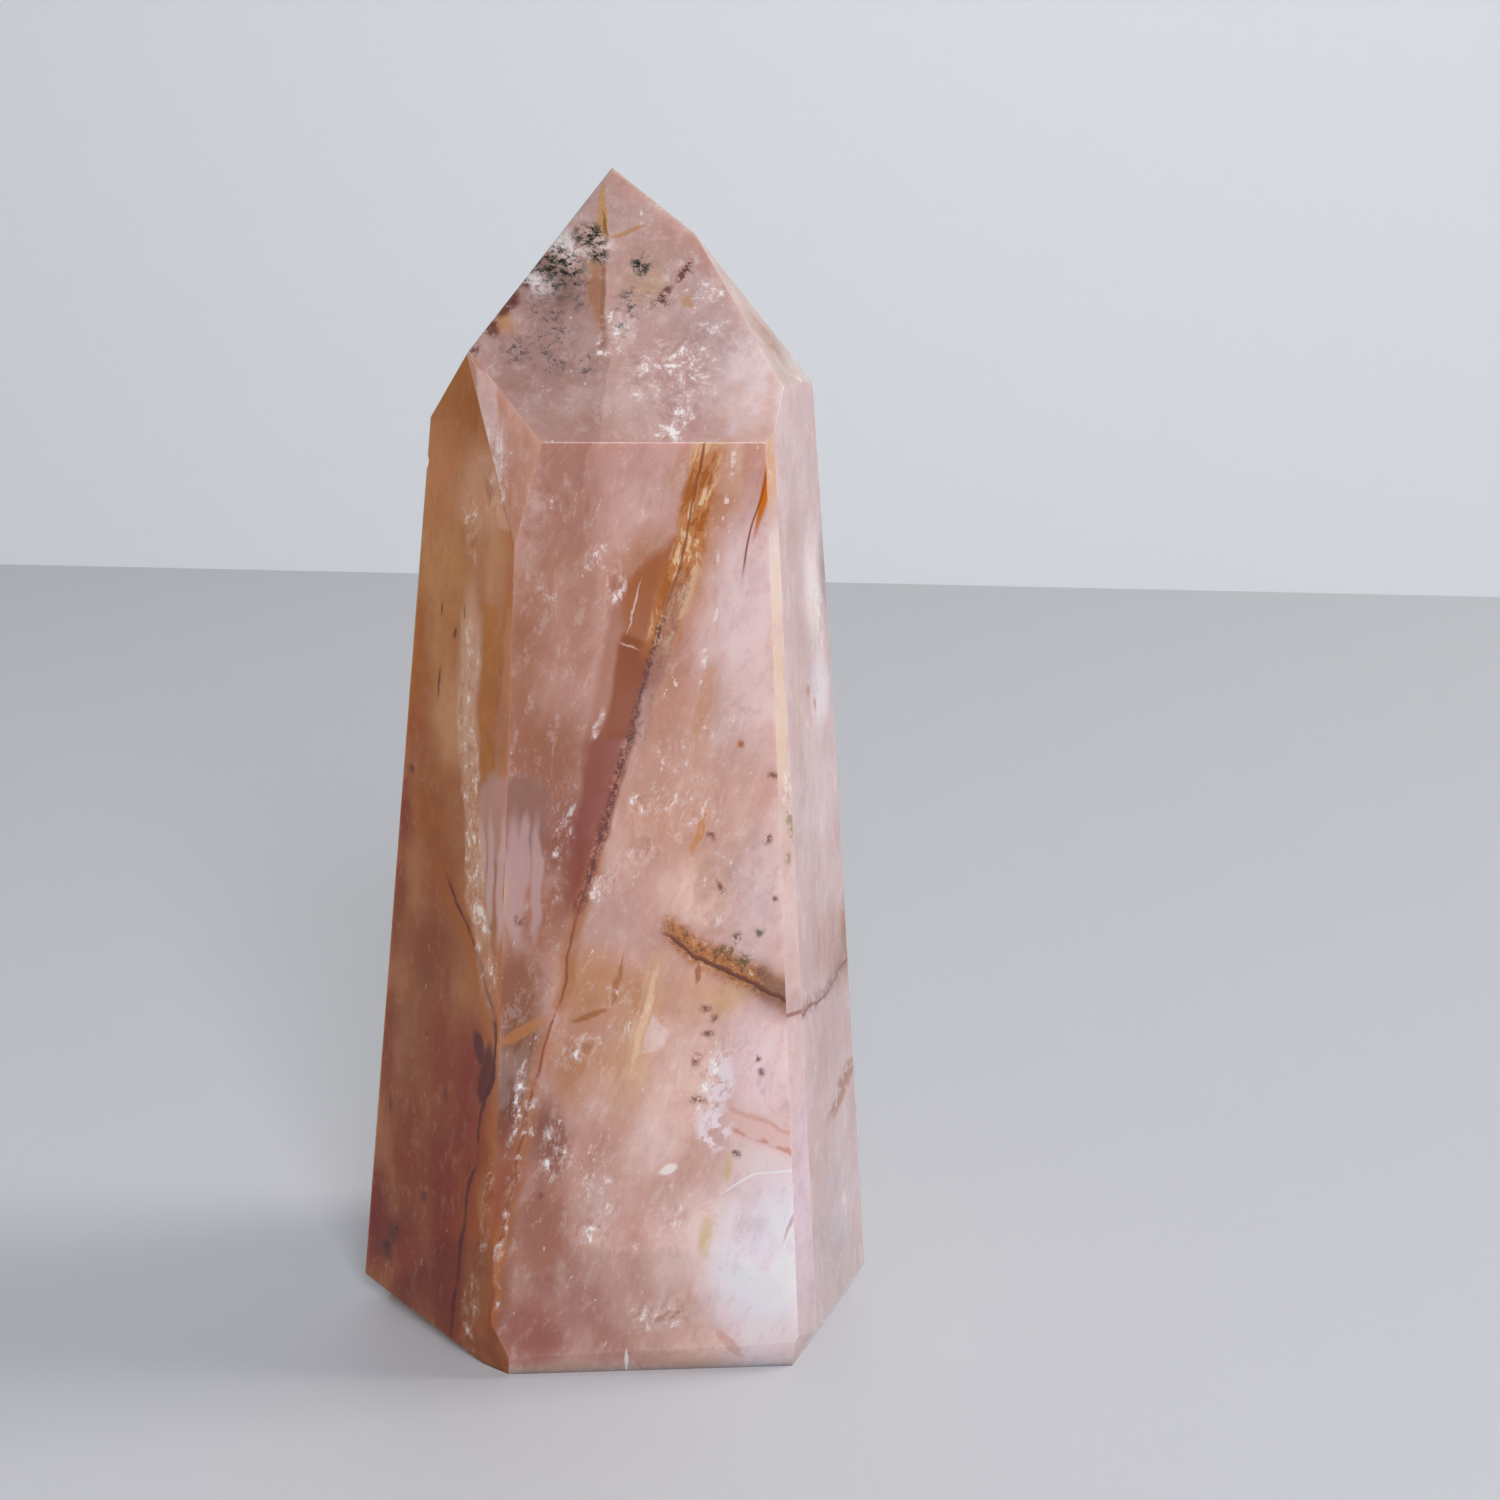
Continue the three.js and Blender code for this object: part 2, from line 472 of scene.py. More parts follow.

# %% [markdown]
# The wide front face. A seam rises across it from the lower left corner: rust has crept in along its
# left side and ends at a buried crack, its middle is a band of dark grains, and gold threads run up its
# right side near the top. A second crack slants down to the right edge. The stone is mauve and brown on
# the left and pale on the right. Low on the right the paint is nearly white, a painted glow that stands
# in for the daylight coming out through the stone there.

# %% Front face
# clouds and specks: colour, amount, middle (across, up), half sizes, and a turn where there is one
FRONT_CLOUDS_AND_GLOW = [
    ("#bb8c7b", 0.85, (-5.4, 61.0), (5.0, 8.0)),
    ("#bb8b74", 0.85, (-5.0, 56.0), (5.0, 5.5)),
    ("#d2aaa2", 0.85, (0.8, 63.0), (4.6, 7.0)),
    ("#b9846d", 0.80, (-4.0, 51.5), (4.0, 4.0)),
    ("#a2663f", 0.85, (-7.2, 50.0), (2.6, 9.0)),
    ("#9c5828", 0.90, (-5.4, 44.5), (5.0, 6.0)),
    ("#bf8a68", 0.80, (1.0, 57.5), (3.0, 3.4)),
    ("#b47c60", 0.80, (2.8, 51.0), (2.0, 4.0), 12),
    ("#c08f76", 0.80, (3.6, 63.4), (1.8, 3.0), 12),
    ("#c98f62", 0.80, (5.4, 59.5), (2.6, 7.5), 12),
    ("#bd7f58", 0.60, (4.8, 56.6), (1.6, 2.6), 12),
    ("#f0dada", 0.95, (8.2, 56.0), (4.2, 9.5), 10),
    ("#e2c4bb", 0.80, (8.8, 46.5), (3.6, 6.5)),
    ("#9c6454", 0.90, (-7.0, 39.5), (3.2, 5.0)),
    ("#8c3e0e", 0.90, (-4.2, 38.0), (3.0, 6.5), 6),
    ("#a05c30", 0.85, (-5.8, 33.5), (3.6, 4.5)),
    ("#c48d6e", 0.85, (2.6, 47.5), (2.4, 5.0), 16),
    ("#d3a58f", 0.80, (5.2, 46.0), (2.6, 5.5), 16),
    ("#cf9e82", 0.85, (1.4, 41.0), (3.2, 5.0), 16),
    ("#d2a188", 0.80, (4.4, 39.5), (3.2, 6.0), 16),
    ("#deb3a0", 0.75, (7.4, 41.0), (2.6, 4.5), 16),
    ("#ead2d0", 0.95, (9.8, 35.0), (4.0, 8.5), 10),
    ("#cca69b", 0.85, (-1.4, 33.5), (3.2, 3.8)),
    ("#ecc8b6", 0.85, (4.4, 35.0), (3.4, 3.4)),
    ("#925020", 0.95, (-7.4, 28.5), (3.4, 6.0)),
    ("#c88f62", 0.95, (-2.4, 28.5), (4.0, 4.4)),
    ("#c89064", 0.85, (1.0, 27.6), (3.2, 4.0), 10),
    ("#deae8e", 0.85, (4.6, 27.6), (3.0, 3.6), 12),
    ("#e2b88a", 0.85, (7.2, 27.8), (2.6, 2.2), -25),
    ("#c2885e", 0.95, (-3.2, 23.0), (3.2, 4.4), 6),
    ("#cf9f78", 0.90, (0.2, 22.8), (3.0, 5.0), 6),
    ("#edcabc", 0.90, (3.8, 21.5), (4.2, 7.0), 12),
    ("#f8e0e2", 0.95, (9.8, 22.5), (4.6, 8.0)),
    ("#6e3606", 0.95, (-8.2, 20.5), (2.8, 8.0), 6),
    ("#8c4c30", 0.95, (-5.4, 17.6), (2.2, 5.0)),
    ("#c5937f", 0.85, (-1.6, 17.0), (2.4, 4.0)),
    ("#e8c9c0", 0.85, (2.0, 17.0), (2.8, 3.6)),
    ("#ecd2cc", 0.90, (9.0, 17.0), (4.4, 4.0)),
    ("#a86a52", 0.95, (-5.6, 11.0), (3.8, 7.5), -6),
    ("#8c4604", 0.90, (-8.9, 8.5), (1.8, 8.5), 6),
    ("#84480c", 0.95, (-7.2, 25.0), (2.2, 3.4)),
    ("#cba59a", 0.85, (-2.0, 12.0), (2.4, 5.0)),
    ("#ab6452", 0.90, (-6.8, 3.6), (3.8, 4.6)),
    ("#b87f70", 0.80, (-0.8, 3.0), (2.6, 2.6)),
    ("#b98074", 0.80, (-2.8, 5.6), (3.2, 4.0)),
    ("#d2a597", 0.85, (0.4, 8.0), (3.0, 6.0)),
    ("#e8c8be", 0.90, (3.6, 10.0), (3.4, 6.5)),
    # the three near-white clouds low on the right (#ffe6e2, #fff6ff, #ffe8ea) are a painted glow of daylight
    # coming out through the stone
    ("#ffe6e2", 0.95, (7.0, 9.5), (4.0, 7.5)),
    ("#fff6ff", 1.00, (10.6, 8.4), (6.4, 12.5), 6),
    ("#f2cabb", 0.80, (5.6, 2.4), (3.4, 2.8)),
    ("#ffe8ea", 0.90, (9.8, 2.8), (4.2, 3.4)),
]
MAIN_SEAM = [
    (-10.0, 0.0), (-8.9, 8.5), (-7.9, 13.2), (-6.8, 19.0), (-5.5, 24.3), (-4.2, 28.7), (-3.8, 31.8),
    (-2.7, 36.0), (-1.0, 42.0), (0.4, 46.5), (1.2, 50.0), (2.4, 54.2), (3.4, 57.4), (4.1, 60.0),
    (4.8, 64.8), (4.9, 66.0),
]
FAR_RIDGE = [(-2.4, 44.0), (-2.3, 58.6), (-2.7, 63.6), (-2.3, 66.0)]
UPPER_SEAM = [(7.0, 52.0), (7.5, 56.4), (8.0, 59.7), (8.8, 62.3), (9.2, 65.4)]
ORANGE_LENS = [(7.85, 58.4), (8.05, 58.6), (9.2, 61.8), (9.75, 65.4), (9.0, 65.6), (8.6, 62.2)]
CROSS_CRACK = [(0.2, 33.2), (2.8, 32.0), (5.0, 30.5), (8.8, 28.5), (13.0, 26.4)]
ROSY_STREAK = [(6.8, 18.6), (9.5, 17.6), (13.0, 15.9)]
PALE_CRACK = [(7.6, 14.0), (9.2, 14.9), (11.0, 15.0), (13.2, 15.4)]
FLECK_COLUMN = [(4.6, 46.0), (5.0, 49.7), (5.4, 52.4), (6.0, 59.0), (6.6, 63.8), (6.8, 66.0)]

# panes and stains: colour, amount, softness of the edge, corners anticlockwise; pale panes are painted
# reflections
FRONT_PANES = [
    ("#f2dede", 0.40, 0.8, [(5.8, 45.0), (9.8, 47.0), (9.2, 58.0), (7.3, 57.0)]),
    ("#dcb49c", 0.75, 0.4, [(4.6, 62.4), (7.2, 62.0), (7.4, 67.0), (4.9, 67.0)]),
    ("#dfb793", 0.55, 0.3, [(-0.4, 22.0), (1.4, 22.0), (3.2, 31.0), (1.6, 31.0)]),
    ("#ecd2cb", 0.70, 0.3, [(1.0, 23.9), (2.4, 24.0), (3.0, 25.2), (1.8, 26.6)]),
]
AMBER_PANES = [
    ("#a05c30", 0.60, 0.7, [(-3.2, 42.0), (-1.6, 42.0), (0.2, 56.0), (-1.2, 56.0)]),
    ("#a8622c", 0.90, 1.0, [(-0.9, 49.0), (2.0, 49.0), (3.6, 59.5), (3.0, 59.5), (-0.4, 56.0)]),
    ("#8a2c00", 0.85, 1.0, [(-4.1, 33.6), (-2.8, 34.5), (0.1, 46.2), (-2.2, 46.2), (-3.5, 41.5)]),
    ("#924200", 0.95, 0.5, [(-1.8, 45.6), (0.4, 45.6), (1.8, 52.0), (-0.5, 52.8)]),
]
# strokes: colour, amount, start, end, half width
FRONT_STROKES = [
    ("#a85f14", 0.9, (5.0, 30.3), (4.6, 28.6), 0.16), ("#a85f14", 0.9, (-3.8, 26.3), (-1.0, 26.9), 0.18),
    ("#b06a20", 0.9, (-1.1, 26.6), (-0.3, 31.0), 0.14), ("#bd7b36", 0.8, (-9.4, 24.3), (-5.0, 26.5), 0.42),
    ("#ecc9a0", 0.8, (2.2, 30.5), (0.2, 22.0), 0.24), ("#cf8a36", 0.8, (5.3, 41.2), (4.3, 37.4), 0.25),
    ("#c4a3b4", 0.7, (11.0, 9.6), (12.9, 14.2), 0.12), ("#cf9678", 0.5, (6.4, 3.8), (8.6, 0.8), 0.35),
    ("#fff4ec", 0.9, (0.4, 2.2), (0.3, -0.6), 0.10), ("#fff6f2", 0.8, (2.2, 14.9), (3.7, 15.7), 0.28),
    ("#c08a5c", 0.6, (5.8, 51.4), (4.4, 44.8), 0.45), ("#b98a6c", 0.5, (6.0, 38.0), (4.8, 34.0), 0.6),
    ("#f0d8cc", 0.7, (0.9, 56.4), (-0.3, 52.6), 0.07), ("#e8c8b4", 0.6, (-0.7, 52.2), (0.9, 51.6), 0.06),
]
FRONT_DENSE = [
    ((-1.0, 56.0), (0.9, 1.9), 8), ((-1.9, 46.6), (0.35, 1.5), 10), ((1.0, 41.3), (1.3, 1.1)),
    ((1.2, 38.2), (1.5, 1.2)), ((-1.6, 35.6), (1.6, 1.4)), ((-2.9, 24.4), (1.8, 1.3)),
    ((-4.9, 16.6), (1.6, 2.6), 10), ((-2.3, 10.8), (1.6, 1.4)),
    ((5.9, 21.4), (1.5, 4.4), 8), ((2.6, 4.6), (3.0, 1.6)), ((-7.3, 20.5), (0.5, 3.6), 8),
    ((-8.3, 11.0), (0.4, 4.0), 8),
]
FRONT_DUSTY = [
    ((-6.0, 55.4), (2.0, 2.0)), ((-4.6, 61.6), (2.6, 1.0)), ((-2.0, 58.0), (1.6, 2.0)),
    ((-4.4, 39.0), (1.2, 6.0), 4), ((2.9, 43.6), (2.0, 5.0), 12), ((6.6, 47.0), (3.4, 1.4), -20),
    ((7.6, 36.6), (3.0, 3.6), 20), ((-1.8, 15.0), (2.2, 7.0)), ((9.8, 20.5), (2.2, 1.6)),
    ((3.4, 12.0), (2.0, 4.0)), ((8.0, 24.6), (2.6, 2.0)),
    ((-7.3, 18.0), (0.9, 6.0), 8), ((0.0, 27.0), (2.4, 3.0)), ((4.6, 41.0), (3.0, 3.6), 16),
    ((-6.2, 19.6), (0.6, 3.4), 8), ((5.4, 34.4), (2.2, 2.6)), ((-8.9, 5.0), (0.5, 4.0), 6),
]
FRONT_VEIL = [(-9.0, 38.4), (-7.4, 37.6), (-5.6, 38.6), (-5.3, 42.2), (-6.6, 43.4), (-9.0, 42.6)]
FRONT_DRIPS = [
    ((-7.6, 41.0), (-7.4, 30.4), 0.55), ((-6.1, 41.0), (-6.1, 31.2), 0.34), ((-6.8, 41.0), (-6.9, 35.0), 0.3),
]
BROWN_SPECKS = [
    ((5.3, 26.9), (0.6, 0.5)), ((6.0, 26.2), (0.5, 0.5)), ((5.6, 25.0), (0.8, 0.4)),
    ((4.8, 23.1), (0.5, 0.8)), ((5.0, 20.3), (0.9, 0.5)), ((9.1, 23.5), (0.5, 0.5)),
    ((9.4, 22.3), (0.4, 0.6)), ((9.8, 43.2), (0.6, 0.4)), ((10.4, 42.2), (0.4, 0.6)),
    ((5.6, 39.0), (0.8, 0.4), 40), ((6.4, 35.6), (0.8, 0.4), 60), ((9.8, 38.9), (0.5, 0.5)),
    ((-5.6, 13.4), (0.5, 0.5)), ((10.1, 34.6), (0.4, 0.5)), ((-7.1, 33.4), (0.5, 0.6)),
]
OLIVE_SPECKS = [
    ((7.5, 16.3), (0.6, 0.4)), ((8.0, 30.4), (0.9, 0.8)), ((6.8, 30.9), (0.9, 0.6)),
    ((7.4, 31.8), (0.4, 0.7), 20), ((8.9, 32.3), (0.5, 0.4)),
]


def front_face():
    finish, paint, place, loose, ragged = start_face("front", "#d3a798", FRONT_CLOUDS_AND_GLOW)
    paint = lay_panes(paint, loose, FRONT_PANES)
    # painted shade: the darker tone left of the far ridge stands in for that ridge seen through the stone
    beside = within(right_of(loose, FAR_RIDGE), -4.2, -0.2, 0.25)
    painted_far_ridge = joined(beside, within(loose.up, low=66.0, soft=12.0))
    paint = lay(paint, "#a06a58", painted_far_ridge, amount=0.4)
    paint = veined(paint, loose)
    paint = lay_panes(paint, loose, AMBER_PANES)
    paint = lay(paint, "#94624f", pane(ragged, FRONT_VEIL, 0.9), amount=0.8)
    for start, end, half in FRONT_DRIPS:
        paint = lay(paint, "#c3a09c", stroke(loose, start, end, half), amount=0.85)

    # stain and amber along the main seam, gold threads on its right near the top
    seam = right_of(loose, MAIN_SEAM)
    rust = joined(within(seam, -2.2, -0.1, 1.2), within(place.up, 0.0, 15.0, 6.0))
    paint = lay(paint, "#9a4400", rust, amount=0.9)
    low = joined(within(seam, -0.1, 0.3, 0.7), within(place.up, 2.0, 36.0, 3.0))
    paint = lay(paint, "#b46c24", low, cloud(ragged, 1.6, 0.30, 0.50, turn=16, times=2), amount=0.75)
    gold = joined(within(seam, -0.4, 0.9, 0.7), within(place.up, 53.0, 64.0, 2.5))
    paint = lay(paint, "#c68240", gold, amount=0.85)
    threads = lumps(ragged, 1.0, turn=14, times=4, detail=6.0, rough=0.7)
    paint = lay(paint, "#a85c08", gold, within(threads, low=0.56, soft=0.06), amount=0.85)
    paint = lay(paint, "#f0d2a8", gold, within(threads, high=0.42, soft=0.05), amount=0.8)

    # its middle: pale mauve on the right with dark grains to both sides, then a thin line down to the foot
    middle = within(place.up, 35.0, 53.0, 1.5)
    mauve = joined(within(seam, 0.1, 0.9, 0.35), within(place.up, 47.0, 55.0, 3.0))
    paint = lay(paint, "#a47a70", mauve, amount=0.5)
    grain = lumps(ragged, 0.30, turn=20, times=1.5, detail=5.0, rough=0.8)
    band = joined(within(seam, -0.3, 0.25, 0.3), within(place.up, 34.5, 44.5, 1.5))
    paint = lay(paint, "#8c3a16", band, amount=0.7)
    paint = lay(paint, "#cf9478", band, within(grain, low=0.58, soft=0.06), amount=0.6)
    side = joined(within(seam, -0.2, 0.12, 0.22), middle)
    paint = lay(paint, "#5e1e14", side, within(grain, high=0.46, soft=0.05), amount=0.85)
    far_side = joined(within(seam, 0.3, 0.8, 0.5), within(place.up, 46.0, 56.0, 1.5))
    paint = lay(paint, "#744a4c", far_side, within(grain, high=0.42, soft=0.06), amount=0.5)
    core = joined(within(seam, -0.02, 0.02, 0.1), middle)
    paint = lay(paint, "#5a2018", core, within(grain, high=0.52, soft=0.06), amount=0.7)
    thin = joined(within(seam, -0.04, 0.04, 0.12), cloud(place, 1.8, 0.34, 0.48))
    paint = lay(paint, "#8a3c10", thin, within(place.up, high=34.0, soft=2.0), amount=0.85)
    upper_line = joined(within(seam, -0.02, 0.05, 0.1), within(place.up, low=57.0, soft=4.0))
    paint = lay(paint, "#8a4a18", upper_line, amount=0.8)

    # a short bright orange seam near the upper right corner
    paint = lay(paint, "#d07600", pane(place, ORANGE_LENS, 0.3))
    upper = right_of(place, UPPER_SEAM)
    crack = joined(within(upper, -0.02, 0.02, 0.09), within(place.up, 58.0, 65.4, 2.0))
    paint = lay(paint, "#9c4c08", crack, amount=0.9)

    # the slanting crack across the lower right, rusty on its upper side
    over = above(ragged, CROSS_CRACK)
    reach = within(place.across, low=3.2, soft=1.2)
    stain = joined(within(over, 0.0, 1.0, 1.2), reach)
    crumbs = lumps(ragged, 0.45, detail=6.0, rough=0.8)
    paint = lay(paint, "#bd7420", stain, within(crumbs, low=0.45, soft=0.10), amount=0.95)
    paint = lay(paint, "#6a3a12", stain, within(crumbs, high=0.43, soft=0.05), amount=0.9)
    paint = lay(paint, "#fff0d8", stain, within(crumbs, low=0.62, soft=0.03), amount=0.8)
    brown = joined(within(over, 0.0, 0.6, 2.2), within(place.across, low=10.0, soft=2.0))
    paint = lay(paint, "#8e6248", brown, within(crumbs, low=0.44, soft=0.12), amount=0.85)
    paint = lay(paint, "#7a3200", within(over, -0.02, 0.22, 0.16), reach, amount=0.95)
    paint = lay(paint, "#481400", within(over, -0.02, 0.04, 0.06), reach, amount=0.9)

    # short rusty threads, painted glints in pale strokes, and rosy streaks
    broken = within(crumbs, low=0.44, soft=0.10)
    for colour, amount, start, end, half in FRONT_STROKES:
        paint = lay(paint, colour, stroke(ragged, start, end, half), broken, amount=amount)
    paint = lay(paint, "#b95a08", oval(place, (7.6, 45.4), (0.34, 0.4)), amount=0.95)
    rosy = above(ragged, ROSY_STREAK)
    to_the_right = within(place.across, low=7.6, soft=1.2)
    paint = lay(paint, "#ecc0b4", within(rosy, -0.3, 1.2, 0.6), to_the_right, amount=0.5)
    frayed = cloud(ragged, 1.4, 0.40, 0.52, turn=-70, times=2)
    paint = lay(paint, "#cc9078", within(rosy, -0.25, -0.1, 0.2), to_the_right, frayed, amount=0.7)
    paint = lay(paint, "#d8a48e", within(rosy, 1.2, 1.3, 0.2), to_the_right, frayed, amount=0.5)
    # a thin white line along a pale crack: a painted highlight where the crack catches the light
    painted_crack_shine = above(loose, PALE_CRACK)
    paint = lay(paint, "#ffffff", within(painted_crack_shine, -0.03, 0.03, 0.1), to_the_right, amount=0.8)
    olive_stain = [((6.9, 15.2), (0.5, 1.4)), ((5.6, 10.4), (0.7, 2.4), 10)]
    paint = lay(paint, "#d9c28a", ovals(ragged, olive_stain), amount=0.7)
    blotches = [((-5.4, 7.0), (1.2, 1.6)), ((-5.8, 2.8), (2.4, 1.8))]
    paint = lay(paint, "#a5584a", ovals(ragged, blotches), amount=0.5)

    # crushed crystal, dense in some places and dusty in others, and the milky patch
    dusty = joined(ovals(ragged, FRONT_DUSTY, soft=0.9), cloud(loose, 1.2, 0.40, 0.58))
    paint = crystals(paint, loose, dusty, size=0.55, share=0.6)
    milk = [((6.5, 21.6), (1.1, 3.2), 8), ((6.0, 18.2), (1.5, 2.0))]
    torn = cloud(ragged, 1.2, 0.44, 0.50, detail=5.0)
    paint = lay(paint, "#f4e8ee", ovals(ragged, milk, 0.5), torn, amount=0.95)
    paint = crystals(paint, ragged, ovals(ragged, FRONT_DENSE, soft=0.6), size=0.9)
    flecks = right_of(ragged, FLECK_COLUMN)
    column = joined(within(flecks, -0.06, 0.06, 0.14), within(place.up, 50.0, 65.0, 1.0))
    paint = lay(paint, "#f8ebe4", column, cloud(place, 0.9, 0.48, 0.56), amount=0.85)

    # specks
    chipped = within(crumbs, high=0.50, soft=0.05)
    paint = lay(paint, "#7d3a28", ovals(ragged, BROWN_SPECKS, soft=0.9), chipped, amount=0.9)
    paint = lay(paint, "#5f5426", ovals(ragged, OLIVE_SPECKS, soft=0.8), chipped, amount=0.9)
    return polished(finish, paint)


finishes["front"] = front_face()
print("front face:", len(FRONT_CLOUDS_AND_GLOW), "clouds and", len(FRONT_PANES), "panes")

# %% [markdown]
# The left face is in the shade: amber and orange at the top, reddish brown low down, with long soft
# fibres. A streak of broken white flakes runs down it, a gold stripe stands beside the edge, and a dark
# seam climbs from the foot to meet the streak in a maroon blot. Pale panes with drips like icicles hang
# across the edge to the front face.

# %% Left face
LEFT_CLOUDS = [
    ("#d69460", 0.90, (-4.8, 61.5), (4.8, 7.0)),
    ("#e4b08a", 0.90, (0.2, 61.5), (4.2, 6.0)),
    ("#d89e62", 0.90, (-3.6, 55.5), (4.6, 6.0)),
    ("#b4650a", 0.90, (-6.8, 49.5), (2.8, 7.0)),
    ("#d09255", 0.85, (-3.2, 51.0), (3.0, 5.0)),
    ("#dba470", 0.90, (-2.2, 46.0), (3.4, 4.6)),
    ("#f4ccae", 0.90, (-0.1, 49.5), (2.0, 8.5)),
    ("#d39a6c", 0.85, (2.0, 57.0), (2.8, 4.0)),
    ("#a85200", 0.95, (-6.6, 43.5), (2.6, 4.0)),
    ("#842000", 0.90, (-7.6, 38.5), (2.6, 4.5)),
    ("#ad5c00", 0.95, (-4.2, 38.5), (3.0, 5.5), -20),
    ("#b06a34", 0.90, (0.0, 39.6), (2.6, 4.5)),
    ("#cb9a82", 0.85, (2.6, 35.0), (1.8, 4.5)),
    ("#aa5800", 0.90, (-2.4, 34.5), (3.4, 4.0), -20),
    ("#8c3800", 0.95, (-8.0, 31.5), (2.6, 7.0)),
    ("#964600", 0.95, (-3.4, 29.0), (5.0, 5.5)),
    ("#8c3600", 0.95, (-8.4, 21.0), (2.8, 8.0)),
    ("#a05a28", 0.90, (-5.2, 22.5), (2.8, 7.0)),
    ("#993f00", 0.95, (-1.6, 22.0), (3.4, 8.0)),
    ("#973c02", 0.95, (-4.8, 14.0), (5.4, 7.5)),
    ("#8f2c00", 0.95, (-0.6, 12.0), (3.4, 10.0)),
    ("#840c00", 0.95, (-9.2, 7.0), (3.0, 8.0)),
    ("#8b2600", 0.95, (-4.6, 5.0), (6.0, 7.0)),
    ("#8a2200", 0.95, (1.8, 19.0), (3.0, 11.0), 6),
    ("#8a1a00", 0.95, (0.2, 6.0), (3.4, 9.0)),
]
LEFT_SEAM = [(0.9, 0.0), (1.7, 9.6), (3.4, 18.2), (4.5, 24.8), (3.2, 28.4), (0.8, 31.8), (-1.6, 35.0)]
WHITE_STREAK = [
    (4.7, 24.5), (2.8, 30.5), (1.7, 34.0), (1.1, 38.0), (0.2, 42.0), (-0.4, 46.0), (-0.2, 50.0), (-1.0, 54.5),
    (-1.3, 62.0),
]
LEFT_PANES = [
    ("#c0741a", 0.75, 0.5, [(1.2, 42.6), (2.7, 42.6), (2.8, 54.5), (1.2, 54.5)]),
    ("#c48458", 0.85, 0.3, [(2.8, 41.0), (6.0, 41.0), (6.0, 54.0), (3.6, 54.5)]),
    ("#e0b494", 0.70, 0.4, [(2.4, 59.5), (3.4, 59.5), (1.2, 64.0), (-0.4, 64.0)]),
]
LEFT_VEIL = [(1.6, 38.2), (3.6, 37.0), (6.5, 38.2), (6.5, 43.0), (2.6, 43.2), (1.4, 41.6)]
LEFT_DRIPS = [
    ((4.3, 41.0), (4.3, 30.6), 0.42), ((2.9, 41.0), (3.2, 31.6), 0.34), ((2.0, 40.0), (2.2, 34.6), 0.28),
]
DARK_MARKS = [
    ((-3.8, 53.4), (0.16, 0.7)), ((-2.15, 51.9), (0.2, 0.6)), ((-0.95, 53.4), (0.14, 0.7)),
    ((-3.8, 48.2), (0.2, 1.6), 3), ((-1.2, 18.9), (0.2, 0.6)), ((-3.4, 22.8), (0.15, 0.7), 40),
    ((2.0, 14.5), (0.18, 0.9), 6), ((-3.3, 10.6), (0.5, 0.6)), ((0.6, 17.0), (0.14, 1.0), 6),
    ((-7.6, 16.0), (0.25, 1.2), 4), ((-7.6, 43.2), (0.6, 0.7)), ((-6.4, 41.4), (0.5, 0.5), -40),
]
BLOTS = [((3.6, 21.8), (0.9, 2.8), 6), ((2.6, 23.6), (0.7, 1.4), -20), ((3.9, 18.4), (0.4, 2.4), 6)]
LEFT_FLAKES = [
    ((-0.6, 59.0), (1.4, 3.4)), ((1.6, 61.5), (2.2, 1.8), 30), ((3.0, 4.0), (1.3, 4.4), 8),
    ((4.3, 12.0), (0.8, 6.0), 8), ((3.6, 30.0), (1.0, 4.4), -20),
]


def left_face():
    finish, paint, place, loose, ragged = start_face("left", "#b87438", LEFT_CLOUDS)
    paint = lay_panes(paint, loose, LEFT_PANES)
    paint = veined(paint, loose, lean=3, light="#d8a680", dark="#7a3a18")
    paint = lay(paint, "#8a2600", oval(ragged, (1.2, 22.0), (2.2, 5.5)), amount=0.7)
    paint = lay(paint, "#c79a8a", pane(ragged, LEFT_VEIL, 0.9), amount=0.8)
    for start, end, half in LEFT_DRIPS:
        paint = lay(paint, "#d6b4ac", stroke(loose, start, end, half), amount=0.9)

    # the dark seam, with a strip of tan and amber on its right
    seam = right_of(ragged, LEFT_SEAM)
    low = within(place.up, high=18.0, soft=5.0)
    paint = lay(paint, "#a34c00", within(seam, low=0.4, soft=0.4), low, amount=0.9)
    tan = cloud(ragged, 1.4, 0.40, 0.60, times=3)
    paint = lay(paint, "#c07c44", within(seam, low=0.8, soft=0.6), low, tan, amount=0.45)
    amber = joined(within(seam, -1.0, 0.1, 1.4), within(place.up, 27.0, 34.0, 3.0))
    paint = lay(paint, "#b0600c", amber, amount=0.8)
    glow = joined(within(seam, -0.6, 0.0, 1.6), within(place.up, 0.0, 18.0, 3.0))
    paint = lay(paint, "#963400", glow, amount=0.7)
    line = joined(within(seam, -0.10, 0.08, 0.18), within(place.up, 2.0, 34.0, 1.5))
    paint = lay(paint, "#5a1000", line, cloud(place, 2.0, 0.3, 0.5), amount=0.9)
    in_front = within(seam, high=0.0, soft=0.3)
    paint = lay(paint, "#520a08", ovals(ragged, BLOTS, soft=0.4), in_front, amount=0.9)

    # dark marks and a dull patch near the foot
    blotch = ovals(ragged, [((-6.6, 6.6), (1.3, 1.5)), ((-7.5, 5.0), (1.0, 1.2), 30)], soft=0.7)
    paint = lay(paint, "#4c1412", blotch, cloud(place, 1.0, 0.36, 0.55), amount=0.8)
    paint = lay(paint, "#6e2f08", ovals(ragged, DARK_MARKS, soft=0.6), amount=0.8)

    # the white streak of broken flakes
    streak = right_of(ragged, WHITE_STREAK)
    run = joined(within(streak, -0.6, 0.7, 0.6), within(place.up, 33.0, 48.0, 8.0))
    paint = lay(paint, "#e2b592", run, amount=0.6)
    zone = joined(run, ovals(ragged, LEFT_FLAKES, soft=0.9), operation="MAXIMUM")
    paint = crystals(paint, ragged, zone, size=0.75, lean=4, chip="#fff4e6", haze="#e9c3a2", dull="#a2602c")
    return polished(finish, paint)


finishes["left"] = left_face()
print("left face:", len(LEFT_CLOUDS), "clouds and", len(DARK_MARKS), "dark marks")
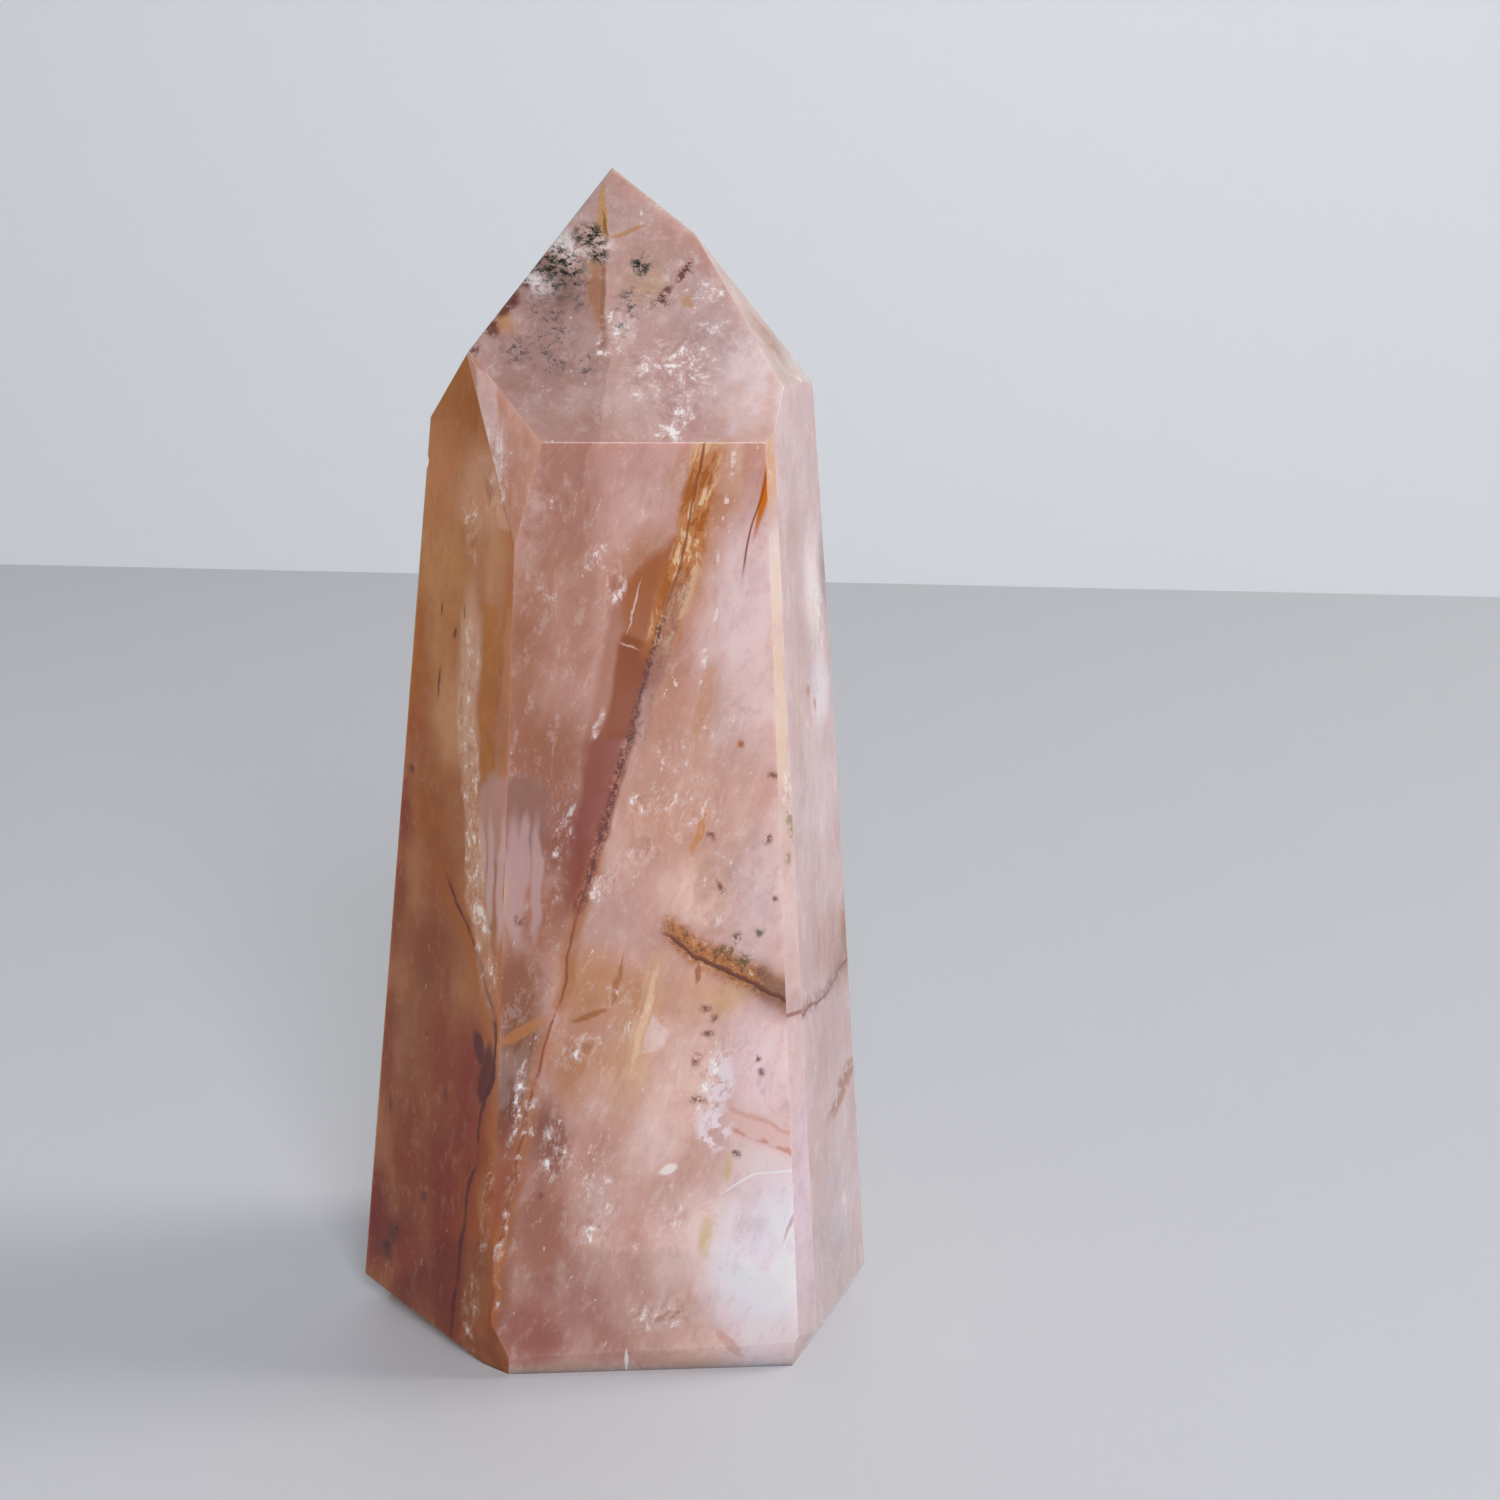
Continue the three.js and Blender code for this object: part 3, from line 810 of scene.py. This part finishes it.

# %% [markdown]
# The tip's front face: pale mauve with painted glints on the right. Under the point lie a yellow wedge and
# thread, and down the left side spreads a white crust with green-black fern specks, grey and dusty
# where it lies deeper. The step of tone down the middle is painted: a darker tone on its left stands in
# for the far ridge of the stone, seen through it.

# %% Front face of the tip
TIP_CLOUDS = [
    ("#b39089", 0.85, (-7.0, 70.5), (5.0, 5.5)),
    ("#bc9a93", 0.80, (-4.4, 70.5), (4.0, 4.5)),
    ("#8a7670", 0.90, (-5.2, 75.0), (3.2, 2.4), 40),
    ("#cfb3ac", 0.75, (0.6, 67.4), (2.6, 3.2)),
    ("#bf9a96", 0.80, (3.6, 67.6), (2.2, 3.2)),
    ("#ecdcdc", 0.95, (8.2, 69.0), (4.0, 6.0)),
    ("#d0b9b7", 0.75, (5.6, 73.0), (4.0, 4.5)),
    ("#c9ac92", 0.80, (1.4, 75.4), (2.6, 2.2)),
    ("#c4a49c", 0.80, (0.4, 80.2), (2.8, 3.0)),
    ("#c8aea6", 0.80, (-3.6, 72.4), (2.0, 1.6)),
]
TIP_PANES = [
    # the first pane is painted shade, standing in for the far ridge seen through the stone; the pale last one
    # is a painted reflection
    ("#9c7a70", 0.40, 0.2, [(-8.0, 64.0), (-2.2, 64.0), (-1.0, 70.5), (-1.5, 77.0), (-9.0, 77.0)]),
    ("#b07c48", 0.65, 0.7, [(-2.7, 73.8), (-1.5, 72.0), (-1.6, 76.6), (-2.8, 76.8)]),
    ("#935c3c", 0.60, 0.2, [(-1.6, 71.0), (-1.2, 71.0), (-1.4, 76.2), (-1.7, 76.2)]),
    ("#c59a58", 0.75, 0.2, [(-2.4, 78.4), (-1.35, 78.0), (-1.4, 81.4), (-1.7, 81.4)]),
    ("#e6d0cc", 0.50, 0.3, [(-1.0, 71.6), (0.6, 71.4), (0.8, 73.0), (-0.4, 73.4)]),
]
TIP_CRUST = [((-4.2, 77.5), (3.0, 1.5), 40), ((-1.7, 77.4), (1.4, 1.2)), ((-6.4, 75.2), (2.2, 1.3), 40)]
TIP_SPARKLE = [
    ((6.3, 75.0), (1.8, 1.1)), ((6.2, 71.8), (2.6, 1.5)), ((3.8, 70.4), (2.8, 2.0)),
    ((1.2, 69.4), (1.8, 2.0)), ((3.4, 67.4), (2.0, 1.8)), ((-0.3, 72.4), (1.4, 1.6)),
    ((-1.2, 71.0), (1.2, 0.8)), ((2.6, 66.2), (1.6, 0.8)),
]
TIP_DUSTY = [((1.6, 79.6), (2.0, 2.6), -20), ((4.8, 74.4), (3.0, 3.6), -30), ((3.4, 69.4), (5.0, 3.4))]
FERN_CORE = [
    ((-2.5, 78.1), (1.7, 1.4), 30), ((-4.5, 76.1), (2.5, 2.0), 40), ((-1.9, 76.9), (1.0, 0.9)),
    ((0.9, 76.4), (0.8, 0.7)),
]
FERN_CLUMPS = [
    ((-5.2, 75.2), (2.6, 2.4), 40), ((-5.6, 73.4), (2.0, 1.8), 30), ((-3.2, 74.4), (1.6, 1.6)),
    ((-5.0, 71.6), (2.6, 1.6)), ((-5.0, 70.0), (2.2, 1.4)), ((-2.8, 70.0), (1.4, 1.4)),
    ((0.4, 74.0), (1.8, 1.8)), ((2.2, 74.2), (1.6, 1.0), 20), ((-7.2, 70.8), (1.6, 1.4)),
    ((0.0, 72.6), (1.0, 1.6)), ((4.4, 76.2), (0.8, 0.8)), ((1.0, 76.4), (1.2, 1.1)),
]
EDGE_STAINS = [
    ((-7.0, 75.1), (0.8, 0.7), 40), ((-7.9, 74.0), (0.7, 0.9), 40), ((-9.1, 72.2), (1.0, 0.7), 40),
    ((-10.3, 70.6), (0.5, 1.0), 30), ((-8.4, 73.3), (0.6, 0.9), 40),
]


def tip_face():
    finish, paint, place, loose, ragged = start_face("tip", "#c7a59d", TIP_CLOUDS)
    paint = lay_panes(paint, loose, TIP_PANES)
    paint = veined(paint, loose, light="#f8ecea")

    # threads under the point, and a stained one on the right
    paint = lay(paint, "#966010", stroke(loose, (-1.75, 80.0), (-1.3, 77.9), 0.12), amount=0.85)
    paint = lay(paint, "#c08c50", stroke(loose, (-1.5, 78.0), (1.6, 79.0), 0.16), amount=0.7)
    yellow = ovals(ragged, [((-8.3, 72.6), (1.4, 1.0), 40), ((4.2, 74.0), (0.8, 0.6), 30)])
    paint = lay(paint, "#c48c50", yellow, amount=0.6)

    # streaks that come up from the front face
    rays = cloud(place, 1.6, 0.40, 0.58, turn=14, times=8)
    fan = pane(loose, [(5.0, 64.0), (9.6, 64.0), (9.8, 70.0), (6.4, 69.0)], 0.6)
    paint = lay(paint, "#d8aa90", fan, rays, amount=0.3)

    # painted glitter on the right, then the white crust and its ferns on the left
    dusty = joined(ovals(ragged, TIP_DUSTY), cloud(loose, 1.8, 0.40, 0.58))
    paint = crystals(paint, loose, dusty, size=0.5, haze="#e4d0ce", dull="#a88880", share=0.4)
    sparkle = ovals(ragged, TIP_SPARKLE, soft=0.6)
    paint = crystals(paint, ragged, sparkle, haze="#ecdad8", dull="#a88880", share=0.7)
    crust = cloud(ragged, 0.9, 0.40, 0.52, detail=6.0, rough=0.7)
    paint = lay(paint, "#f4ecea", ovals(ragged, TIP_CRUST, soft=0.9), crust, amount=0.85)
    fronds = lumps(ragged, 0.62, detail=6.0, rough=0.82)
    clumps = ovals(loose, FERN_CLUMPS, soft=1.0)
    paint = lay(paint, "#8a7c7e", clumps, within(fronds, low=0.54, soft=0.08), amount=0.5)
    paint = lay(paint, "#453d45", clumps, within(fronds, low=0.575, soft=0.03), amount=0.9)
    core = ovals(loose, FERN_CORE, soft=0.7)
    paint = lay(paint, "#60645a", core, within(fronds, low=0.50, soft=0.05), amount=0.6)
    paint = lay(paint, "#1c2216", core, within(fronds, low=0.54, soft=0.03), amount=0.95)

    # a rusty branch, and the stains along the left edge
    start, bend_at, end = (1.6, 73.5), (3.3, 75.3), (4.8, 76.6)
    branch = joined(
        stroke(ragged, start, bend_at, 0.25), stroke(ragged, bend_at, end, 0.2), operation="MAXIMUM"
    )
    paint = lay(paint, "#6d3028", branch, within(fronds, low=0.50, soft=0.04), amount=0.85)
    stains = ovals(ragged, EDGE_STAINS, soft=0.6)
    paint = lay(paint, "#5a2414", stains, within(fronds, low=0.48, soft=0.08), amount=0.85)
    return polished(finish, paint)


finishes["tip"] = tip_face()
print("tip:", len(FERN_CLUMPS) + len(FERN_CORE), "clumps of fern specks")

# %% [markdown]
# The right faces look towards the daylight and are the palest, and two whitish clouds on the right face
# are painted reflections of the daylight. The slanting crack of the front goes on across them as a brown
# shade. The narrow face beside the front has a straw-coloured stripe and a flaky patch, and the small
# shoulder at the upper left shows straight-sided panes over a warm ground, the pale ones painted
# reflections of a buried crack.

# %% Right faces and shoulder
RIGHT_CLOUDS_AND_REFLECTIONS = [
    # the whitish clouds at 54.5 and 47.5 mm up (#fdeaea, #f8eef6) are painted reflections of the daylight
    ("#fdeaea", 0.90, (1.4, 54.5), (3.2, 6.0)),
    ("#cfb5ac", 0.80, (-2.6, 60.0), (2.2, 5.0)),
    ("#a8989a", 0.90, (4.2, 55.6), (2.2, 5.6), 4),
    ("#f8eef6", 0.80, (1.8, 47.5), (3.2, 4.5)),
    ("#dbc0b7", 0.75, (-3.4, 47.5), (2.0, 4.0)),
    ("#e6d2d4", 0.80, (0.0, 40.4), (6.4, 5.0)),
    ("#caa49c", 0.90, (0.0, 29.5), (8.0, 4.2)),
    ("#ae7a52", 0.85, (5.0, 29.0), (2.2, 3.0)),
    ("#cfb0b1", 0.85, (-1.0, 22.5), (7.5, 5.0)),
    ("#d7b8b3", 0.80, (-4.0, 16.0), (4.4, 4.0)),
    ("#d8c6ca", 0.85, (0.4, 9.0), (7.0, 8.0)),
]
RIGHT_CRACK = [(-8.0, 26.2), (-5.8, 26.3), (-1.9, 25.8), (2.0, 26.2), (6.5, 26.8)]
RIGHT_PALE = [((1.1, 8.2), (0.7, 3.4), 6), ((2.4, 53.0), (1.2, 4.4)), ((-1.8, 44.0), (0.6, 3.0), 3)]


def right_face():
    finish, paint, place, loose, ragged = start_face("right", "#dcc2c1", RIGHT_CLOUDS_AND_REFLECTIONS)
    paint = veined(paint, loose, lean=4, light="#fff8fb", dark="#9a6a60")
    over = above(ragged, RIGHT_CRACK)
    to_the_right = within(place.across, low=3.0, soft=5.0)
    paint = lay(paint, "#a9806c", within(over, 0.0, 0.8, 3.0), to_the_right, amount=0.7)
    torn = cloud(ragged, 1.0, 0.36, 0.54)
    paint = lay(paint, "#96685a", within(over, 0.0, 0.3, 0.9), torn, amount=0.7)
    paint = lay(paint, "#7b3c24", within(over, -0.06, 0.06, 0.14), amount=0.7)
    rust = joined(stroke(ragged, (-2.2, 16.4), (6.5, 18.6), 0.9), cloud(ragged, 1.2, 0.38, 0.52))
    paint = lay(paint, "#a8643a", rust, amount=0.75)
    curl = [((-1.1, 48.0), (0.7, 0.6)), ((0.4, 46.9), (0.4, 0.7))]
    paint = lay(paint, "#b8733c", ovals(ragged, curl), amount=0.6)
    zone = ovals(ragged, RIGHT_PALE)
    paint = crystals(paint, ragged, zone, lean=4, haze="#f8f0f4", dull="#c0989a")
    return polished(finish, paint)


STRIP_CLOUDS = [
    ("#e0b894", 0.85, (0.6, 63.5), (2.2, 4.0)),
    ("#eee2e0", 0.85, (1.0, 57.0), (2.0, 4.5)),
    ("#e8d0c6", 0.75, (1.0, 49.0), (2.4, 7.0)),
    ("#dbc0b8", 0.70, (1.2, 40.0), (2.4, 6.0)),
    ("#dcc4c4", 0.85, (1.6, 26.0), (2.6, 4.5)),
    ("#e2d0da", 0.90, (1.8, 12.0), (2.8, 14.0)),
]


def strip_face():
    finish, paint, place, _, ragged = start_face("strip", "#dec4bf", STRIP_CLOUDS)
    paint = veined(paint, ragged, lean=2, dark="#a07060")
    straw = joined(within(place.up, 43.5, 57.0, 2.0), within(place.across, high=1.1, soft=0.2))
    paint = lay(paint, "#ead2b8", straw, cloud(ragged, 2.0, 0.26, 0.50, times=3), amount=0.6)
    paint = lay(paint, "#a8887c", within(place.up, 26.8, 27.4, 1.2), amount=0.3)
    paint = lay(paint, "#8a3e20", within(place.up, 26.3, 26.45, 0.15), amount=0.7)
    zone = ovals(ragged, [((1.2, 42.0), (0.8, 2.4)), ((1.7, 52.0), (0.4, 7.0))])
    paint = crystals(paint, ragged, zone, size=0.6, lean=2, haze="#f6ece2", dull="#c0a088")
    torn = cloud(ragged, 0.5, 0.44, 0.52, detail=5.0)
    olive = [((1.3, 39.6), (0.6, 1.6)), ((0.9, 37.4), (0.4, 0.7))]
    paint = lay(paint, "#9a9068", ovals(ragged, olive), torn, amount=0.8)
    return polished(finish, paint)


SHOULDER_CLOUDS = [
    ("#c29683", 0.90, (-4.8, 69.4), (1.8, 2.2)),
    ("#d6a88e", 0.85, (-4.4, 66.6), (1.8, 3.4), -20),
    ("#e8c2b4", 0.85, (-2.6, 65.0), (2.0, 3.2), -20),
    ("#cd977b", 0.90, (-0.6, 61.4), (1.8, 3.0), -10),
    ("#c7957e", 0.90, (0.4, 59.0), (2.0, 3.4), -10),
]
SHOULDER_PANES = [
    # both panes are pale, painted reflections of a buried crack
    ("#e9cdc8", 0.75, 0.25, [(-3.6, 65.0), (-2.2, 65.0), (-2.8, 69.4), (-4.2, 69.8)]),
    ("#efd9d4", 0.75, 0.25, [(-2.6, 62.8), (-1.2, 62.6), (-1.9, 66.4)]),
]


def shoulder_face():
    finish, paint, _, loose, ragged = start_face("shoulder", "#d2a48e", SHOULDER_CLOUDS)
    paint = lay_panes(paint, loose, SHOULDER_PANES)
    paint = veined(paint, ragged, lean=-15)
    zone = ovals(ragged, [((-2.0, 63.5), (2.0, 4.0), -20)])
    paint = crystals(paint, ragged, zone, size=0.6, lean=-15)
    return polished(finish, paint)


finishes["right"] = right_face()
finishes["strip"] = strip_face()
finishes["shoulder"] = shoulder_face()
print("right face, strip and shoulder:", len(RIGHT_CLOUDS_AND_REFLECTIONS + STRIP_CLOUDS + SHOULDER_CLOUDS), "clouds")

# %% [markdown]
# The back can't be seen, so it carries on with what the front shows at its edges: rust beside the left
# face fades into pink across the back, and on each face a thin seam and a veil of crushed crystal rise.

# %% Back faces
BACK_LOOKS = [
    # face, body, clouds, seam from the foot up, veil of crystal
    (
        "tip_right", "#d2bbb2",
        [("#b98f76", 0.85, (0.8, 71.8), (2.0, 2.2)), ("#d9cfca", 0.8, (3.0, 69.5), (3.0, 3.0))],
        [(-9.0, 60.0), (-6.0, 82.0)], [((0.6, 68.5), (3.0, 1.4))],
    ),
    (
        "back", "#d9b1a8",
        [("#ecd2cc", 0.8, (-5.0, 50.0), (5.0, 16.0), 8), ("#c8968a", 0.8, (4.0, 30.0), (5.0, 18.0), 10),
         ("#efd8d4", 0.8, (-4.0, 14.0), (5.0, 12.0)), ("#dcb4a4", 0.7, (2.0, 60.0), (6.0, 9.0))],
        [(5.0, 0.0), (3.4, 18.0), (1.0, 36.0), (-2.0, 52.0), (-3.0, 70.0)],
        [((-3.0, 24.0), (2.4, 9.0), 8), ((3.0, 50.0), (2.0, 7.0), -6)],
    ),
    (
        "back_left", "#d6a794",
        [("#c07c48", 0.85, (6.0, 46.0), (4.0, 10.0)), ("#b4684c", 0.85, (5.6, 16.0), (4.4, 14.0)),
         ("#dfb8a8", 0.8, (-3.0, 56.0), (5.0, 12.0)), ("#e0bab2", 0.8, (-4.0, 24.0), (4.6, 18.0))],
        [(3.0, 0.0), (2.0, 16.0), (3.6, 30.0), (5.6, 42.0), (6.2, 70.0)],
        [((-1.0, 38.0), (1.6, 10.0), 4), ((-2.0, 12.0), (2.0, 6.0))],
    ),
    (
        "back_right", "#d8b8b2",
        [("#eddcdc", 0.8, (-2.0, 52.0), (5.0, 12.0)), ("#b08874", 0.8, (-6.0, 29.0), (4.0, 4.0), 20),
         ("#cda59c", 0.8, (4.0, 34.0), (4.0, 14.0)), ("#e2c8cb", 0.8, (-2.0, 12.0), (6.0, 10.0))],
        [(-4.0, 0.0), (-3.0, 20.0), (-5.4, 28.0), (-3.0, 46.0), (0.0, 70.0)],
        [((1.4, 20.0), (2.0, 8.0), 6), ((0.0, 44.0), (1.6, 8.0))],
    ),
]


def far_face(face, body, clouds, path, veil):
    finish, paint, place, loose, ragged = start_face(face, body, clouds)
    paint = veined(paint, loose, lean=6)
    seam = right_of(ragged, path)
    stain = joined(within(seam, -0.5, 0.2, 1.4), cloud(loose, 3.0, 0.40, 0.56, times=2))
    paint = lay(paint, "#b06a34", stain, amount=0.75)
    line = joined(within(seam, -0.06, 0.06, 0.14), cloud(place, 2.0, 0.36, 0.50))
    paint = lay(paint, "#843c18", line, amount=0.85)
    paint = crystals(paint, ragged, ovals(ragged, veil), lean=6)
    return polished(finish, paint)


for look in BACK_LOOKS:
    finishes[look[0]] = far_face(*look)
print("backs:", [look[0] for look in BACK_LOOKS])

# %% [markdown]
# The visible stone is a copy of the solid. Its flat faces are merged, each gets the finish that belongs
# to the way it looks, and the hidden tip faces carry on the finish of the side face below them. Every
# edge longer than 0.6 mm, between faces that meet at more than 3 degrees, is worn round by less than a
# tenth of a millimetre, which catches the light as a thin bright line.

# %% Polished stone
EDGE_WEAR = 0.09 * MM
SHORTEST_EDGE = 0.6 * MM
SAME_SPOT = 0.002 * MM
WEAR_STEPS = 3
COPLANAR = math.radians(0.6)
SAME_WAY = math.radians(3)
CARRIED_ON = {"tip_back": "back", "tip_left": "back_left", "tip_back_right": "back_right"}

stone_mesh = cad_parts["quartz_point"].data.copy()
stone_mesh.name = "polished_tower"
stone_mesh.materials.clear()
shape = bmesh.new()
shape.from_mesh(stone_mesh)
bmesh.ops.remove_doubles(shape, verts=shape.verts, dist=SAME_SPOT)
bmesh.ops.dissolve_limit(shape, angle_limit=COPLANAR, verts=shape.verts, edges=shape.edges)

slots = list(finishes)
for finish in finishes.values():
    stone_mesh.materials.append(finish)
ways = []
for face, (azimuth, lean) in FACE_WAYS.items():
    turn, tip = math.radians(azimuth), math.radians(lean)
    way = Vector((math.cos(turn) * math.cos(tip), math.sin(turn) * math.cos(tip), math.sin(tip)))
    ways.append((way, slots.index(CARRIED_ON.get(face, face))))
for flat in shape.faces:
    flat.normal_update()
    flat.material_index = max(ways, key=lambda way: flat.normal.dot(way[0]))[1]

edges = [
    edge for edge in shape.edges
    if edge.calc_length() > SHORTEST_EDGE and edge.calc_face_angle(0) > SAME_WAY
]
print(len(shape.faces), "faces,", len(edges), "edges to wear")
bmesh.ops.bevel(
    shape, geom=edges, offset=EDGE_WEAR, offset_type="OFFSET", affect="EDGES", segments=WEAR_STEPS,
    profile=0.5, material=-1, clamp_overlap=True,
)
print(sum(len(flat.verts) - 2 for flat in shape.faces), "triangles")
shape.to_mesh(stone_mesh)
shape.free()

stone = bpy.data.objects.new("polished_tower", stone_mesh)
scene.collection.objects.link(stone)
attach(stone, "root")
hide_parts("quartz_point")
for finish in finishes.values():
    print(finish.name, len(finish.node_tree.nodes), "nodes")
